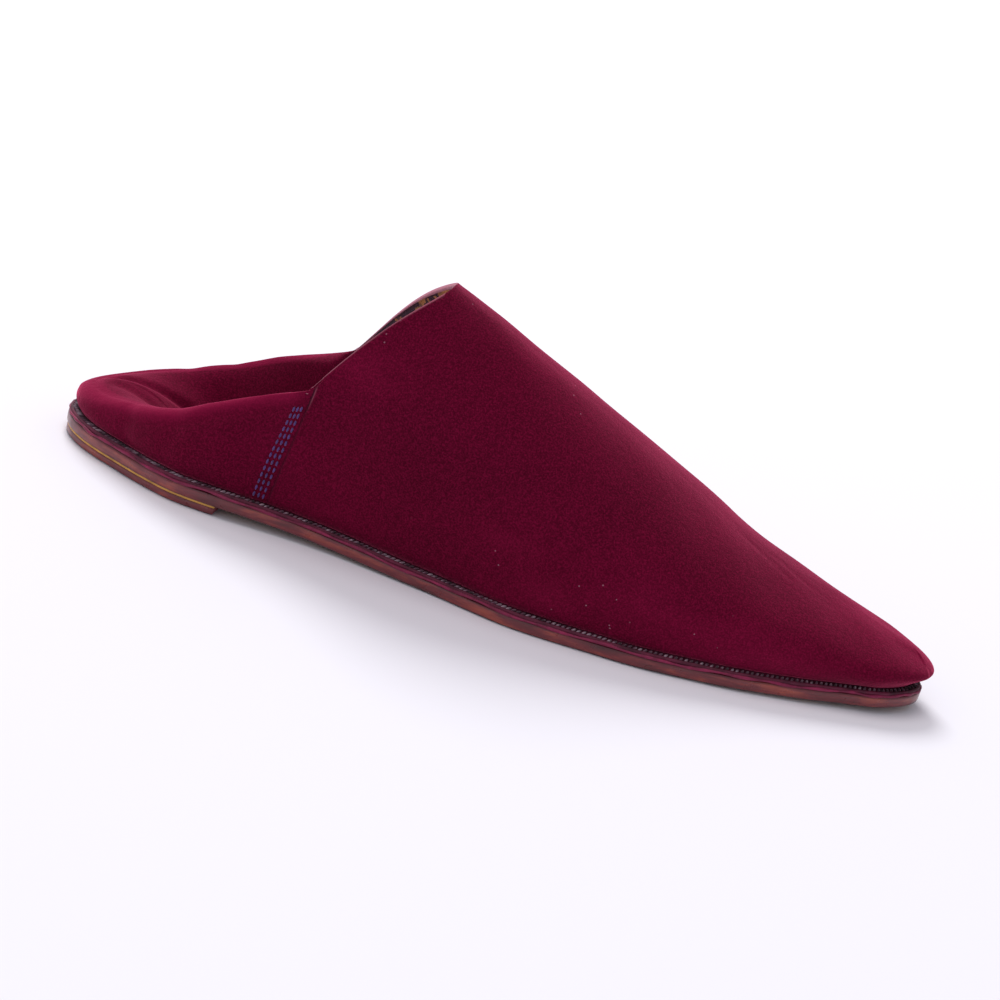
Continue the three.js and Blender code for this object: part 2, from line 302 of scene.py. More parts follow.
def stations_round():
    """Turns once round the shoe, closest together where the lapped seam crosses the wall."""
    stretches = (
        (0.0, turn_of(PEAK), 110, 1.0),
        (turn_of(PEAK), turn_of(SEAM + 4), 52, 1.3),
        (turn_of(SEAM + 4), turn_of(SEAM - 8), 44, 1.0),
        (turn_of(SEAM - 8), 1.0, 70, 1.0),
    )
    half = np.concatenate(
        [start + (end - start) * (np.arange(n) / n) ** power for start, end, n, power in stretches]
    )
    return np.concatenate([half, [1.0], -half[1:][::-1]])


TURNS = stations_round()
SHIFT = np.append(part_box("outsole")[0][:2] - outline(TURNS).min(0) * MM, 0.0)


def in_frame(points):
    """Millimetres from the back of the sole to metres in the slipper's own frame."""
    return np.asarray(points, float) * MM + SHIFT


# ---------------- meshes


def ring_faces(rings, count):
    """Four-sided faces between rings of points, each ring closed on itself."""
    ring = np.arange(rings - 1)[:, None] * count
    i = np.arange(count)[None, :]
    a, b = ring + i, ring + (i + 1) % count
    return np.stack([a, b, b + count, a + count], -1).reshape(-1, 4).tolist()


def new_piece(name, points, faces, materials, attributes=None, shades=None):
    """A mesh object with its place in its mesh; attributes are floats on the points."""
    mesh = bpy.data.meshes.new(name)
    mesh.from_pydata([tuple(p) for p in in_frame(points)], [], faces)
    mesh.update()
    for material in materials:
        mesh.materials.append(material)
    mesh.polygons.foreach_set("use_smooth", [True] * len(mesh.polygons))
    if shades is not None:
        mesh.polygons.foreach_set("material_index", shades)
    for key, values in (attributes or {}).items():
        layer = mesh.attributes.new(key, "FLOAT", "POINT")
        layer.data.foreach_set("value", np.asarray(values, float))
    piece = bpy.data.objects.new(name, mesh)
    bpy.context.scene.collection.objects.link(piece)
    return piece


def weld(piece, distance):
    """Joins points that lie on each other."""
    shape = bmesh.new()
    shape.from_mesh(piece.data)
    bmesh.ops.remove_doubles(shape, verts=shape.verts, dist=distance)
    shape.to_mesh(piece.data)
    shape.free()
    piece.data.update()


def settle(piece, replaced=()):
    """Ties a piece to the slipper's one body and hides the solid-model parts that it replaces."""
    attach(piece, "root")
    if replaced:
        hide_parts(*replaced)


def over_underside(x, height):
    return underside(x) + height


def over_outsole(x, height):
    return welt_foot(x) + height


def under_heel(x, height):
    """The heel layer fills the space below the outsole, so its heights follow that space."""
    return height * (underside(x) - GAP) / LIFT


def slab(name, profile, level, material, turns=TURNS, place=inset_outline):
    """A plate that follows the outline, with a cap below and above.

    A profile's rows are inset, height and the share of the way up the edge, which the finish reads.
    """
    points = []
    for inset, height, _ in profile:
        at = place(turns, np.full(len(turns), float(inset)))
        points.append(np.column_stack([at, level(at[:, 0], height)]))
    count = len(turns)
    top = (len(profile) - 1) * count
    faces = ring_faces(len(profile), count)
    for i in range(count // 2):
        a, b, c, d = (count - i) % count, count - i - 1, i + 1, i
        low = [v for k, v in enumerate((a, b, c, d)) if v not in (a, b, c, d)[:k]]
        if len(low) > 2:
            faces.append(low)
            faces.append([top + v for v in reversed(low)])
    shares = np.repeat([float(share) for *_, share in profile], count)
    return new_piece(name, np.concatenate(points), faces, [material], {"edge": shares})


def bead_round(name, turns, centre, radius, material, sides=8):
    """A bead laid round the outline, with its points and its radius given at each turn."""
    out = np.column_stack([outward(turns), np.zeros(len(turns))])
    up = np.array((0, 0, 1.0))
    rings = []
    for k in range(sides):
        angle = 2 * math.pi * k / sides
        rings.append(centre + radius[:, None] * (math.cos(angle) * out + math.sin(angle) * up))
    faces = []
    for i in range(len(turns)):
        j = (i + 1) % len(turns)
        for k in range(sides):
            m = (k + 1) % sides
            faces.append([i * sides + k, j * sides + k, j * sides + m, i * sides + m])
    return new_piece(name, np.stack(rings, 1).reshape(-1, 3), faces, [material])


# ---------------- materials


class Nodes:
    """A material's node tree, with short calls for the nodes that these finishes use."""

    def __init__(self, name):
        self.material = bpy.data.materials.new(name)
        self.material.use_nodes = True
        self.tree = self.material.node_tree
        self.shader = self.tree.nodes["Principled BSDF"]
        self.coords = self.node("ShaderNodeTexCoord").outputs["Object"]

    def node(self, kind, inputs=None, **settings):
        node = self.tree.nodes.new(kind)
        for key, value in settings.items():
            setattr(node, key, value)
        for key, value in (inputs or {}).items():
            self.feed(node.inputs[key], value)
        return node

    def feed(self, socket, value):
        if isinstance(value, bpy.types.NodeSocket):
            self.tree.links.new(value, socket)
        else:
            socket.default_value = value

    def noise(self, scale, detail=3.0, roughness=0.55, at=None):
        inputs = {"Vector": at or self.coords, "Scale": scale, "Detail": detail, "Roughness": roughness}
        return self.node("ShaderNodeTexNoise", inputs).outputs["Fac"]

    def stretched(self, scale):
        inputs = {"Vector": self.coords, "Scale": scale}
        return self.node("ShaderNodeMapping", inputs).outputs["Vector"]

    def cells(self, scale):
        inputs = {"Vector": self.coords, "Scale": scale}
        return self.node("ShaderNodeTexVoronoi", inputs).outputs["Distance"]

    def attribute(self, name):
        return self.node("ShaderNodeAttribute", attribute_name=name).outputs["Fac"]

    def ramp(self, value, *stops):
        node = self.node("ShaderNodeValToRGB", {"Fac": value})
        elements = node.color_ramp.elements
        while len(elements) < len(stops):
            elements.new(0.5)
        for element, (position, colour) in zip(elements, stops):
            element.position = position
            element.color = (*colour[:3], 1)
        return node.outputs["Color"]

    def share(self, value, low, high):
        """0 at low, 1 at high, smooth between."""
        inputs = {"Value": value, "From Min": low, "From Max": high}
        node = self.node("ShaderNodeMapRange", inputs, interpolation_type="SMOOTHSTEP")
        return node.outputs["Result"]

    def mix(self, share, a, b):
        """From a to b, each a socket or a plain colour."""
        a, b = (c if isinstance(c, bpy.types.NodeSocket) else (*c[:3], 1) for c in (a, b))
        node = self.node("ShaderNodeMix", {"Factor": share, "A": a, "B": b}, data_type="RGBA")
        return node.outputs["Result"]

    def maths(self, operation, a, b):
        return self.node("ShaderNodeMath", {0: a, 1: b}, operation=operation).outputs["Value"]

    def relief(self, height, strength, distance, under=None):
        inputs = {"Strength": strength, "Distance": distance, "Height": height}
        if under is not None:
            inputs["Normal"] = under
        return self.node("ShaderNodeBump", inputs).outputs["Normal"]

    def finish(self, colour, roughness, normal=None, **plain):
        self.feed(self.shader.inputs["Base Color"], colour)
        self.feed(self.shader.inputs["Roughness"], roughness)
        if normal is not None:
            self.feed(self.shader.inputs["Normal"], normal)
        for key, value in plain.items():
            self.shader.inputs[key.replace("_", " ")].default_value = value
        return self.material


LINT = (0.42, 0.2, 0.26)
LAP_SHADOW = (0.01, 0.003, 0.008)
FACING_MOTTLE = (0.035, 0.008, 0.02)
FACING_PALER_FROM = 0.064  # height in metres above which the facing's dark patches thin out
FACING_WIDTH = (2.5, 2.8)  # where the facing strip gives way to the lining, from the rim
SOLE_LINE = (0.03, 0.006, 0.01)
SOLE_TOP_LINE = (0.05, 0.008, 0.014)
SCUFF = (0.13, 0.07, 0.045)


def darker(colour, share):
    return tuple(share * c for c in colour)


def suede_material(colours):
    """Napped suede: brushed patches, a fine grain, a pink sheen at the edges and a little lint."""
    n = Nodes("burgundy_suede")
    deep, mid, light = (tuple(c) for c in (colours.suede_deep, colours.suede, colours.suede_light))
    brushed = n.noise(1.0, 3, 0.5, n.stretched((16, 26, 34)))
    patches = n.ramp(brushed, (0.25, darker(mid, 0.6)), (0.55, mid), (0.85, light))
    grain = n.noise(1900, 2, 0.7)
    nap = n.mix(n.share(grain, 0.35, 0.75), deep, light)
    colour = n.mix(0.45, patches, nap)
    lint = n.maths("MULTIPLY", n.share(n.cells(230), 0.075, 0.04), n.share(n.noise(38, 0), 0.6, 0.66))
    colour = n.mix(n.maths("MULTIPLY", lint, 0.5), colour, LINT)
    worn = n.attribute("rim")
    colour = n.mix(n.maths("MULTIPLY", worn, 0.85), colour, tuple(colours.cut_edge))
    colour = n.mix(n.attribute("shadow_line"), colour, LAP_SHADOW)
    # Painted highlight: the light suede tone is laid along the band under the fold.
    band = n.maths("MULTIPLY", n.attribute("fold_highlight"), 0.6)
    colour = n.mix(band, colour, light)
    coarse = n.relief(n.noise(420, 4, 0.65), 0.35, 0.0006)
    fine = n.relief(grain, 0.5, 0.00025, coarse)
    return n.finish(
        colour, 0.95, fine, Sheen_Weight=0.9, Sheen_Roughness=0.36,
        Sheen_Tint=(*tuple(colours.sheen), 1), Specular_IOR_Level=0.05,
    )


def lining_material(colours):
    """The pale lining, with the mottled facing strip along the topline."""
    n = Nodes("pale_lining")
    pale = n.ramp(n.noise(140, 4), (0.3, darker(colours.lining, 0.82)), (0.7, tuple(colours.lining)))
    mottle = n.noise(260, 3, 0.6)
    tan = n.ramp(n.noise(600, 2), (0.3, darker(colours.facing, 0.6)), (0.7, tuple(colours.facing)))
    height = n.node("ShaderNodeSeparateXYZ", {"Vector": n.coords})
    paler = n.maths("MULTIPLY", n.maths("SUBTRACT", height.outputs["Z"], FACING_PALER_FROM), 9)
    strip = n.mix(n.share(n.maths("SUBTRACT", mottle, paler), 0.4, 0.5), tan, FACING_MOTTLE)
    edge = n.attribute("rim_distance")
    wobble = n.maths("MULTIPLY", n.maths("SUBTRACT", n.noise(160, 2), 0.5), 1.2)
    lower = n.share(n.maths("ADD", edge, wobble), *FACING_WIDTH)
    colour = n.mix(lower, strip, pale)
    raw = n.share(edge, 0.5, 0.2)
    colour = n.mix(raw, colour, tuple(colours.cut_edge))
    normal = n.relief(n.noise(700, 3), 0.3, 0.0003)
    return n.finish(colour, 0.62, normal, Specular_IOR_Level=0.4)


def waxed_edge_material(colours):
    """Burnished red-brown sole edge with waxy patches, and the natural underside."""
    n = Nodes("waxed_sole")
    edge = n.attribute("edge")
    streaks = n.noise(1.0, 4, 0.65, n.stretched((70, 70, 420)))
    wood = n.ramp(
        streaks, (0.28, darker(colours.sole_edge, 0.35)), (0.5, tuple(colours.sole_edge)),
        (0.68, tuple(colours.sole_patch)),
    )
    dark_line = n.share(edge, 0.2, 0.08)
    wood = n.mix(n.maths("MULTIPLY", dark_line, 0.85), wood, SOLE_LINE)
    top_line = n.share(edge, 0.82, 0.93)
    wood = n.mix(n.maths("MULTIPLY", top_line, 0.6), wood, SOLE_TOP_LINE)
    under = n.ramp(n.noise(90, 6, 0.6), (0.3, (0.2, 0.1, 0.05)), (0.7, (0.36, 0.2, 0.1)))
    scuffed = n.mix(n.share(n.noise(24, 5, 0.7), 0.5, 0.62), under, SCUFF)
    colour = n.mix(n.share(edge, 0.03, 0.0), wood, scuffed)
    rough = n.ramp(n.noise(220, 3), (0.3, (0.22,) * 3), (0.7, (0.5,) * 3))
    normal = n.relief(streaks, 0.25, 0.0004, n.relief(n.noise(900, 2), 0.25, 0.0002))
    return n.finish(colour, rough, normal, Coat_Weight=0.35, Coat_Roughness=0.25)


def plain_leather(name, dark, light, scale, roughness, gloss=0.3, grain=900):
    """Leather of two tones with a fine grain."""
    n = Nodes(name)
    colour = n.ramp(n.noise(scale, 5, 0.6), (0.3, dark), (0.7, light))
    normal = n.relief(n.noise(grain, 3), 0.35, 0.0003)
    return n.finish(colour, roughness, normal, Specular_IOR_Level=gloss)


def thread_material(name, *stops):
    """Twisted thread, with its tones as stops of a ramp."""
    n = Nodes(name)
    colour = n.ramp(n.noise(330, 1), *stops)
    inputs = {"Vector": n.coords, "Scale": 900}
    twist = n.node("ShaderNodeTexWave", inputs, wave_type="BANDS", bands_direction="DIAGONAL")
    return n.finish(colour, 0.6, n.relief(twist.outputs["Fac"], 0.5, 0.0002), Sheen_Weight=0.2)


# ---------------- repeated stitches


def stitch_tree():
    """Geometry Nodes: one rounded stitch every pitch along each line, turned by slant."""
    tree = bpy.data.node_groups.new("stitch_run", "GeometryNodeTree")
    face = tree.interface
    face.new_socket("Geometry", in_out="INPUT", socket_type="NodeSocketGeometry")
    for name, value in (("Pitch", 0.002), ("Length", 0.0016), ("Thickness", 0.0007), ("Slant", 0.0)):
        socket = face.new_socket(name, in_out="INPUT", socket_type="NodeSocketFloat")
        socket.default_value = value
    face.new_socket("Thread", in_out="INPUT", socket_type="NodeSocketMaterial")
    face.new_socket("Geometry", in_out="OUTPUT", socket_type="NodeSocketGeometry")
    nodes, links = tree.nodes, tree.links
    given, result = nodes.new("NodeGroupInput"), nodes.new("NodeGroupOutput")
    lines = nodes.new("GeometryNodeMeshToCurve")
    spaced = nodes.new("GeometryNodeCurveToPoints")
    spaced.mode = "LENGTH"
    ball = nodes.new("GeometryNodeMeshUVSphere")
    ball.inputs["Segments"].default_value = 8
    ball.inputs["Rings"].default_value = 6
    ball.inputs["Radius"].default_value = 0.5
    size = nodes.new("ShaderNodeCombineXYZ")
    slanted = nodes.new("FunctionNodeEulerToRotation")
    slant = nodes.new("ShaderNodeCombineXYZ")
    aligned = nodes.new("FunctionNodeAlignRotationToVector")
    aligned.axis = "X"
    turned = nodes.new("FunctionNodeRotateRotation")
    turned.rotation_space = "LOCAL"
    placed = nodes.new("GeometryNodeInstanceOnPoints")
    smooth = nodes.new("GeometryNodeSetShadeSmooth")
    whole = nodes.new("GeometryNodeRealizeInstances")
    coloured = nodes.new("GeometryNodeSetMaterial")
    for start, end in (
        (given.outputs["Geometry"], lines.inputs["Mesh"]),
        (lines.outputs["Curve"], spaced.inputs["Curve"]),
        (given.outputs["Pitch"], spaced.inputs["Length"]),
        (spaced.outputs["Points"], placed.inputs["Points"]),
        (spaced.outputs["Tangent"], aligned.inputs["Vector"]),
        (given.outputs["Slant"], slant.inputs["Z"]),
        (slant.outputs["Vector"], slanted.inputs["Euler"]),
        (aligned.outputs["Rotation"], turned.inputs["Rotation"]),
        (slanted.outputs["Rotation"], turned.inputs["Rotate By"]),
        (turned.outputs["Rotation"], placed.inputs["Rotation"]),
        (given.outputs["Length"], size.inputs["X"]),
        (given.outputs["Thickness"], size.inputs["Y"]),
        (given.outputs["Thickness"], size.inputs["Z"]),
        (size.outputs["Vector"], placed.inputs["Scale"]),
        (ball.outputs["Mesh"], smooth.inputs["Geometry"]),
        (smooth.outputs["Geometry"], placed.inputs["Instance"]),
        (placed.outputs["Instances"], whole.inputs["Geometry"]),
        (whole.outputs["Geometry"], coloured.inputs["Geometry"]),
        (given.outputs["Thread"], coloured.inputs["Material"]),
        (coloured.outputs["Geometry"], result.inputs["Geometry"]),
    ):
        links.new(start, end)
    return tree


def sew(name, lines, thread, **sizes):
    """Runs the stitches along polylines, and gives them back as one plain mesh object."""
    points = np.concatenate(lines)
    edges, first = [], 0
    for line in lines:
        edges += [(first + i, first + i + 1) for i in range(len(line) - 1)]
        first += len(line)
    guide = bpy.data.meshes.new(name + "_guide")
    guide.from_pydata([tuple(p) for p in in_frame(points)], edges, [])
    carrier = bpy.data.objects.new(name + "_guide", guide)
    bpy.context.scene.collection.objects.link(carrier)
    tree = bpy.data.node_groups.get("stitch_run") or stitch_tree()
    run = carrier.modifiers.new("stitches", "NODES")
    run.node_group = tree
    wanted = {**sizes, "Thread": thread}
    for item in tree.interface.items_tree:
        if item.item_type == "SOCKET" and item.in_out == "INPUT" and item.name in wanted:
            run[item.identifier] = wanted[item.name]
    evaluated = carrier.evaluated_get(bpy.context.evaluated_depsgraph_get())
    mesh = bpy.data.meshes.new_from_object(evaluated)
    carrier.modifiers.remove(run)
    bpy.data.objects.remove(carrier)
    if not mesh.polygons:
        raise RuntimeError(name + " has no stitches")
    mesh.name = name
    piece = bpy.data.objects.new(name, mesh)
    bpy.context.scene.collection.objects.link(piece)
    return piece


# ---------------- the upper's creases and seam


def seam_x(rise):
    """Where the vamp's lapped edge crosses a row of the wall, from the foot to the topline."""
    return SEAM_FOOT + (SEAM + SEAM_AHEAD - SEAM_FOOT) * np.clip(rise / FOLD_SHARE, 0, 1.2)


# Creases: stations of (turn, rise), depth (inwards) and width. Turns below 0 are the outer side.
CREASES = (
    {"path": ((-0.315, 0.95), (-0.288, 0.92), (-0.262, 0.85)), "depth": 0.24, "width": 1.1},
    {"path": ((-0.285, 0.99), (-0.262, 0.95), (-0.24, 0.9)), "depth": 0.2, "width": 1.0},
    {"path": ((0.33, 0.7), (0.3, 0.66), (0.27, 0.55)), "depth": 0.3, "width": 1.5},
    {"path": ((-0.748, 0.1), (-0.738, 0.25), (-0.745, 0.4)), "depth": 0.5, "width": 3.4},
    {"path": ((-0.8, 0.1), (-0.797, 0.25), (-0.803, 0.42)), "depth": 0.45, "width": 3.0},
    {"path": ((-0.7, 0.1), (-0.69, 0.22), (-0.68, 0.36)), "depth": -0.4, "width": 4.0},
    {"path": ((0.736, 0.1), (0.73, 0.25), (0.735, 0.38)), "depth": 0.5, "width": 3.4},
    {"path": ((0.79, 0.1), (0.785, 0.25), (0.79, 0.4)), "depth": 0.4, "width": 3.2},
    {"path": ((0.963, 0.63), (0.948, 0.78), (0.905, 0.97)), "depth": 1.5, "width": 2.0},
    {"path": ((-0.955, 0.7), (-0.93, 0.82), (-0.89, 0.97)), "depth": 0.9, "width": 2.6},
    {"path": ((1.0, 0.68), (1.0, 0.75), (1.0, 0.82)), "depth": -0.8, "width": 7.0},
)


def crease_line(crease):
    """A crease's path on the upper, as a fine polyline."""
    stations = np.array(crease["path"], float)
    steps, t = np.arange(len(stations)), np.linspace(0, len(stations) - 1, 40)
    return upper_surface(np.interp(t, steps, stations[:, 0]), np.interp(t, steps, stations[:, 1]))


def nearest(points, line, chunk=8000):
    """Distance of each point to a polyline's own points."""
    out = np.empty(len(points))
    for start in range(0, len(points), chunk):
        part = points[start:start + chunk, None, :] - line[None, :, :]
        out[start:start + chunk] = np.sqrt((part**2).sum(-1).min(1))
    return out


def sheet_normals(points, rings, count, joined):
    """Normals at the points of a sheet whose last ring meets its own mirror image where joined."""
    faces = np.array(ring_faces(rings, count))
    a, b, c, d = (points[faces[:, k]] for k in range(4))
    across = np.cross(c - a, d - b)
    normal = np.zeros_like(points)
    for k in range(4):
        np.add.at(normal, faces[:, k], across)
    last = normal[-count:]
    normal[-count:] = np.where(joined[:, None], last + last[-np.arange(count)], last)
    return normal / np.maximum(np.linalg.norm(normal, axis=-1, keepdims=True), 1e-9)


def close_ridge(points, count, joined):
    """Brings the two sides of the vamp together along its top line."""
    last = points[-count:]
    points[-count:] = np.where(joined[:, None], (last + last[-np.arange(count)]) / 2, last)


UPPER_ROWS = 48
SUEDE, LINING = 0, 1  # the upper's material slots
LAP_STEP = 0.45  # half the width of the step at the vamp's edge
LAP_FADES = (150, 110)  # ahead of the seam the lap's height fades out between these
BAND_GROOVE = {"depth": 0.8, "below_fold": 5.0, "width": 1.7}
WANDER = 0.2  # slow unevenness of the suede
FACING_STANDS = 0.25
TIP_NORMAL = np.array((0.5, 0.0, 0.86))


def on_the_wall(x, rise):
    """True below the fold, and everywhere on the vamp."""
    return (rise <= FOLD_SHARE + 0.02) | (x > SEAM)


def below_fold(points, x):
    return back["fold"](x) - points[:, 2]


def flared(points, normal, x, side, rise):
    """Leans the inner side's topline out, between the seam and the peak."""
    share = smoothstep(x, SEAM, SEAM + 9) * smoothstep(x, PEAK - 1, PEAK - 20) * smoothstep(rise, 0.3, 1)
    return points + normal * (FLARE * share * (side > 0))[:, None]


def suede_lift(sizes, points, x, side, rise):
    """How far the suede stands out: the lap, the creases, the groove under the fold, some wander."""
    above_foot = smoothstep(rise, 0.0, 0.06)
    lap = np.where(on_the_wall(x, rise), smoothstep(x - seam_x(rise), -LAP_STEP, LAP_STEP), 0.0)
    lift = sizes.lap_height / MM * lap * smoothstep(x, *LAP_FADES) * above_foot
    for crease in CREASES:
        near = nearest(points, crease_line(crease))
        lift -= sizes.crease_depth * crease["depth"] * bump(near, crease["width"]) * above_foot
    behind_seam = smoothstep(x, SEAM + 1, SEAM - 12) * (rise < FOLD_SHARE)
    groove = bump(below_fold(points, x) - BAND_GROOVE["below_fold"], BAND_GROOVE["width"])
    lift -= BAND_GROOVE["depth"] * groove * behind_seam * smoothstep(x, 8, 30)
    wander = np.sin(0.21 * x + 1.3 * side) * np.sin(9 * rise + 0.05 * x)
    return lift + WANDER * wander * above_foot * smoothstep(rise, 1, 0.8)


def wall_thickness(x, rim, tip):
    """Suede and lining together: half as thick at the rim, and thin at the toe's tip."""
    thickness = WALL * (0.5 + 0.5 * smoothstep(rim, 0.3, 3.5)) * (1 - 0.5 * near_toe(x))
    return thickness * (0.1 + 0.9 * smoothstep(tip, 0.5, 7))


def wall_faces(rows, count):
    """Faces and material slots: suede, lining, the foot all round, and the rim of the opening."""
    total, top = (rows + 1) * count, rows * count
    faces, shades = [], []
    for a, b, c, d in ring_faces(rows + 1, count):
        faces += [[a, b, c, d], [d + total, c + total, b + total, a + total]]
        shades += [SUEDE, LINING]
    for i in range(count):
        j = (i + 1) % count
        faces.append([j, i, i + total, j + total])
        shades.append(SUEDE)
        if max(along(TURNS[i]), along(TURNS[j])) < PEAK + 1e-6:
            faces.append([top + i, top + j, top + j + total, top + i + total])
            shades.append(LINING)
    return faces, shades


def suede_marks(points, x, rise, rim):
    """Where the suede's finish changes: its cut edge, the painted shadow beside the lap, and the painted
    highlight along the fold.
    """
    ahead = x - seam_x(rise)
    near_fold = smoothstep(rise, 0.45, 0.52)
    line = bump(ahead + 0.15, 0.35) * on_the_wall(x, rise) * (rise < 1.15 * FOLD_SHARE)
    line *= smoothstep(x, SEAM + 8, SEAM + 2)
    shadow = np.clip(line * (0.55 + 0.45 * near_fold), 0, 1)
    # Painted highlight along the fold: a band about a millimetre under its top, behind the seam.
    fold_highlight = bump(below_fold(points, x) - 1.0, 2.8) * smoothstep(x, SEAM + 1, SEAM - 6)
    fold_highlight *= rise < FOLD_SHARE + 0.06
    cut = smoothstep(rim, 0.6, 0.2) * (rise > 0.9) * (x < PEAK - 2) * (x > SEAM - 0.5)
    lap_cut = bump(ahead - 0.3, 0.25) * near_fold * (rise < FOLD_SHARE - 0.005) * 0.6
    return {"rim": np.maximum(cut, lap_cut), "shadow_line": shadow, "fold_highlight": fold_highlight}


def build_upper(sizes, suede, lining):
    """The hollow upper: suede outside and lining inside, joined at the foot and round the opening."""
    count = len(TURNS)
    turn, rise = np.meshgrid(TURNS, np.arange(UPPER_ROWS + 1) / UPPER_ROWS)
    outer = upper_surface(turn, rise).reshape(-1, 3)
    turn, rise = turn.ravel(), rise.ravel()
    x, side = along(turn), np.sign(np.sin(np.pi * turn))
    joined = along(TURNS) > PEAK - 1e-6
    normal = sheet_normals(outer, UPPER_ROWS + 1, count, joined)
    tip = np.linalg.norm(outer - outer[-count], axis=-1)
    normal += (smoothstep(tip, 3.5, 0.8) * 4)[:, None] * TIP_NORMAL
    normal /= np.linalg.norm(normal, axis=-1, keepdims=True)
    outer = flared(outer, normal, x, side, rise)
    rim = nearest(outer, outer[-count:][along(TURNS) < PEAK + 1e-6])

    shown = outer + normal * suede_lift(sizes, outer, x, side, rise)[:, None]
    inner = outer - normal * wall_thickness(x, rim, tip)[:, None]
    inner -= normal * (FACING_STANDS * smoothstep(rim, 3.4, 2.9))[:, None]
    flat = rise < 1e-9
    inner[flat, 2] = outer[flat, 2]
    close_ridge(shown, count, joined)
    close_ridge(inner, count, joined)

    faces, shades = wall_faces(UPPER_ROWS, count)
    marks = suede_marks(outer, x, rise, rim)
    attributes = {name: np.concatenate([mark, np.zeros(len(outer))]) for name, mark in marks.items()}
    attributes["rim_distance"] = np.concatenate([rim, rim])
    points = np.concatenate([shown, inner])
    piece = new_piece("upper_suede", points, faces, [suede, lining], attributes, shades)
    weld(piece, distance=2e-6)
    return piece


SEAM_ROWS = 3
SEAM_BEHIND = 1.6  # the first row's distance behind the vamp's edge
SEAM_ABOVE = 0.12
STITCH_SHARE = 0.78  # a seam stitch's length as a share of its pitch


def seam_stitch_lines(gap):
    """Three rows of stitches behind the vamp's edge on each side, drawing together at the top."""
    lines = []
    share = np.linspace(0.05, 0.84, 60)
    rise = share * FOLD_SHARE
    for side in (-1, 1):
        for row in range(SEAM_ROWS):
            apart = SEAM_BEHIND + row * gap / MM * (1.15 - 0.4 * share)
            xs = seam_x(rise) - apart * 1.08
            turns = np.arccos(2 * xs / LENGTH - 1) / np.pi * side
            on = upper_surface(turns, rise)
            ahead = upper_surface(turns, rise + 0.01) - on
            beside = upper_surface(turns + 0.002, rise) - on
            normal = np.cross(beside, ahead)
            normal /= np.linalg.norm(normal, axis=-1, keepdims=True)
            lines.append(on + normal * SEAM_ABOVE)
    return lines


# ---------------- settings


def length(name, description, default):
    return bpy.props.FloatProperty(
        name=name, description=description, default=default, unit="LENGTH", min=0
    )


def angle(name, description, degrees):
    return bpy.props.FloatProperty(
        name=name, description=description, default=math.radians(degrees), subtype="ANGLE"
    )


def power(name, description, default):
    return bpy.props.FloatProperty(
        name=name, description=description, default=default, unit="POWER", min=0
    )


def colour(name, description, default):
    return bpy.props.FloatVectorProperty(
        name=name, description=description, default=default, size=3, subtype="COLOR", min=0, max=1
    )


class SlipperSizes(bpy.types.PropertyGroup):
    seam_pitch: length("Seam pitch", "From one seam stitch to the next", 0.0022)
    seam_gap: length("Seam row gap", "Between the rows of seam stitches", 0.00115)
    seam_thread: length("Seam thread", "Thickness of the seam thread", 0.0007)
    whip_pitch: length("Welt pitch", "From one welt stitch to the next", 0.0015)
    whip_thread: length("Welt thread", "Thickness of the welt thread", 0.0008)
    lap_height: length("Lap height", "Step of the vamp's edge over the back", 0.0007)
    bead: length("Welt bead", "Radius of the coloured bead at the sole's edge", 0.00045)
    crease_depth: bpy.props.FloatProperty(
        name="Crease depth", description="Depth of the creases, 1 as worn", default=1.0, min=0, max=2
    )


class SlipperColours(bpy.types.PropertyGroup):
    suede: colour("Suede", "The suede's middle tone", (0.118, 0.0012, 0.019))
    suede_deep: colour("Deep suede", "Where the nap lies towards you", (0.034, 0.0003, 0.006))
    # This tone is also painted as the highlight along the fold.
    suede_light: colour("Light suede", "Where the nap lies away", (0.26, 0.006, 0.047))
    sheen: colour("Sheen", "The nap's sheen at its edges", (1.0, 0.13, 0.28))
    cut_edge: colour("Cut edge", "The leather's raw edge", (0.4, 0.13, 0.18))
    lining: colour("Lining", "The pale lining", (0.8, 0.77, 0.86))
    facing: colour("Facing", "The strip inside the topline", (0.5, 0.2, 0.07))
    thread: colour("Thread", "The seam thread", (0.085, 0.028, 0.2))
    bead: colour("Bead", "The bead at the sole's edge", (0.32, 0.02, 0.085))
    sole_edge: colour("Sole edge", "The waxed edge", (0.17, 0.015, 0.022))
    sole_patch: colour("Sole patches", "Lighter waxed patches", (0.34, 0.055, 0.032))
    natural: colour("Natural leather", "The undyed line in the heel", (0.8, 0.42, 0.1))
    insole: colour("Insole", "The insole's tan", (0.42, 0.22, 0.1))


class SlipperStage(bpy.types.PropertyGroup):
    floor: colour("Floor", "The floor's colour", (0.86, 0.85, 0.9))
    azimuth: angle("Azimuth", "How far round the camera stands", 8.21)
    elevation: angle("Elevation", "How far above the floor it looks from", 20.5)
    roll: angle("Roll", "How far it is rolled", 15.62)
    place: bpy.props.FloatVectorProperty(
        name="Camera place", description="From the back of the sole, on the floor", size=3,
        subtype="TRANSLATION", default=(0.23195, -0.6699, 0.27306),
    )
    lens: bpy.props.FloatProperty(
        name="Lens", description="Focal length in millimetres", unit="CAMERA", default=87.48
    )
    key: power("Key light", "Power of the light behind", 66.0)
    top: power("Top light", "Power of the light straight above", 30.0)
    fill: power("Fill light", "Power of the light in front", 1.0)


# ---------------- operators


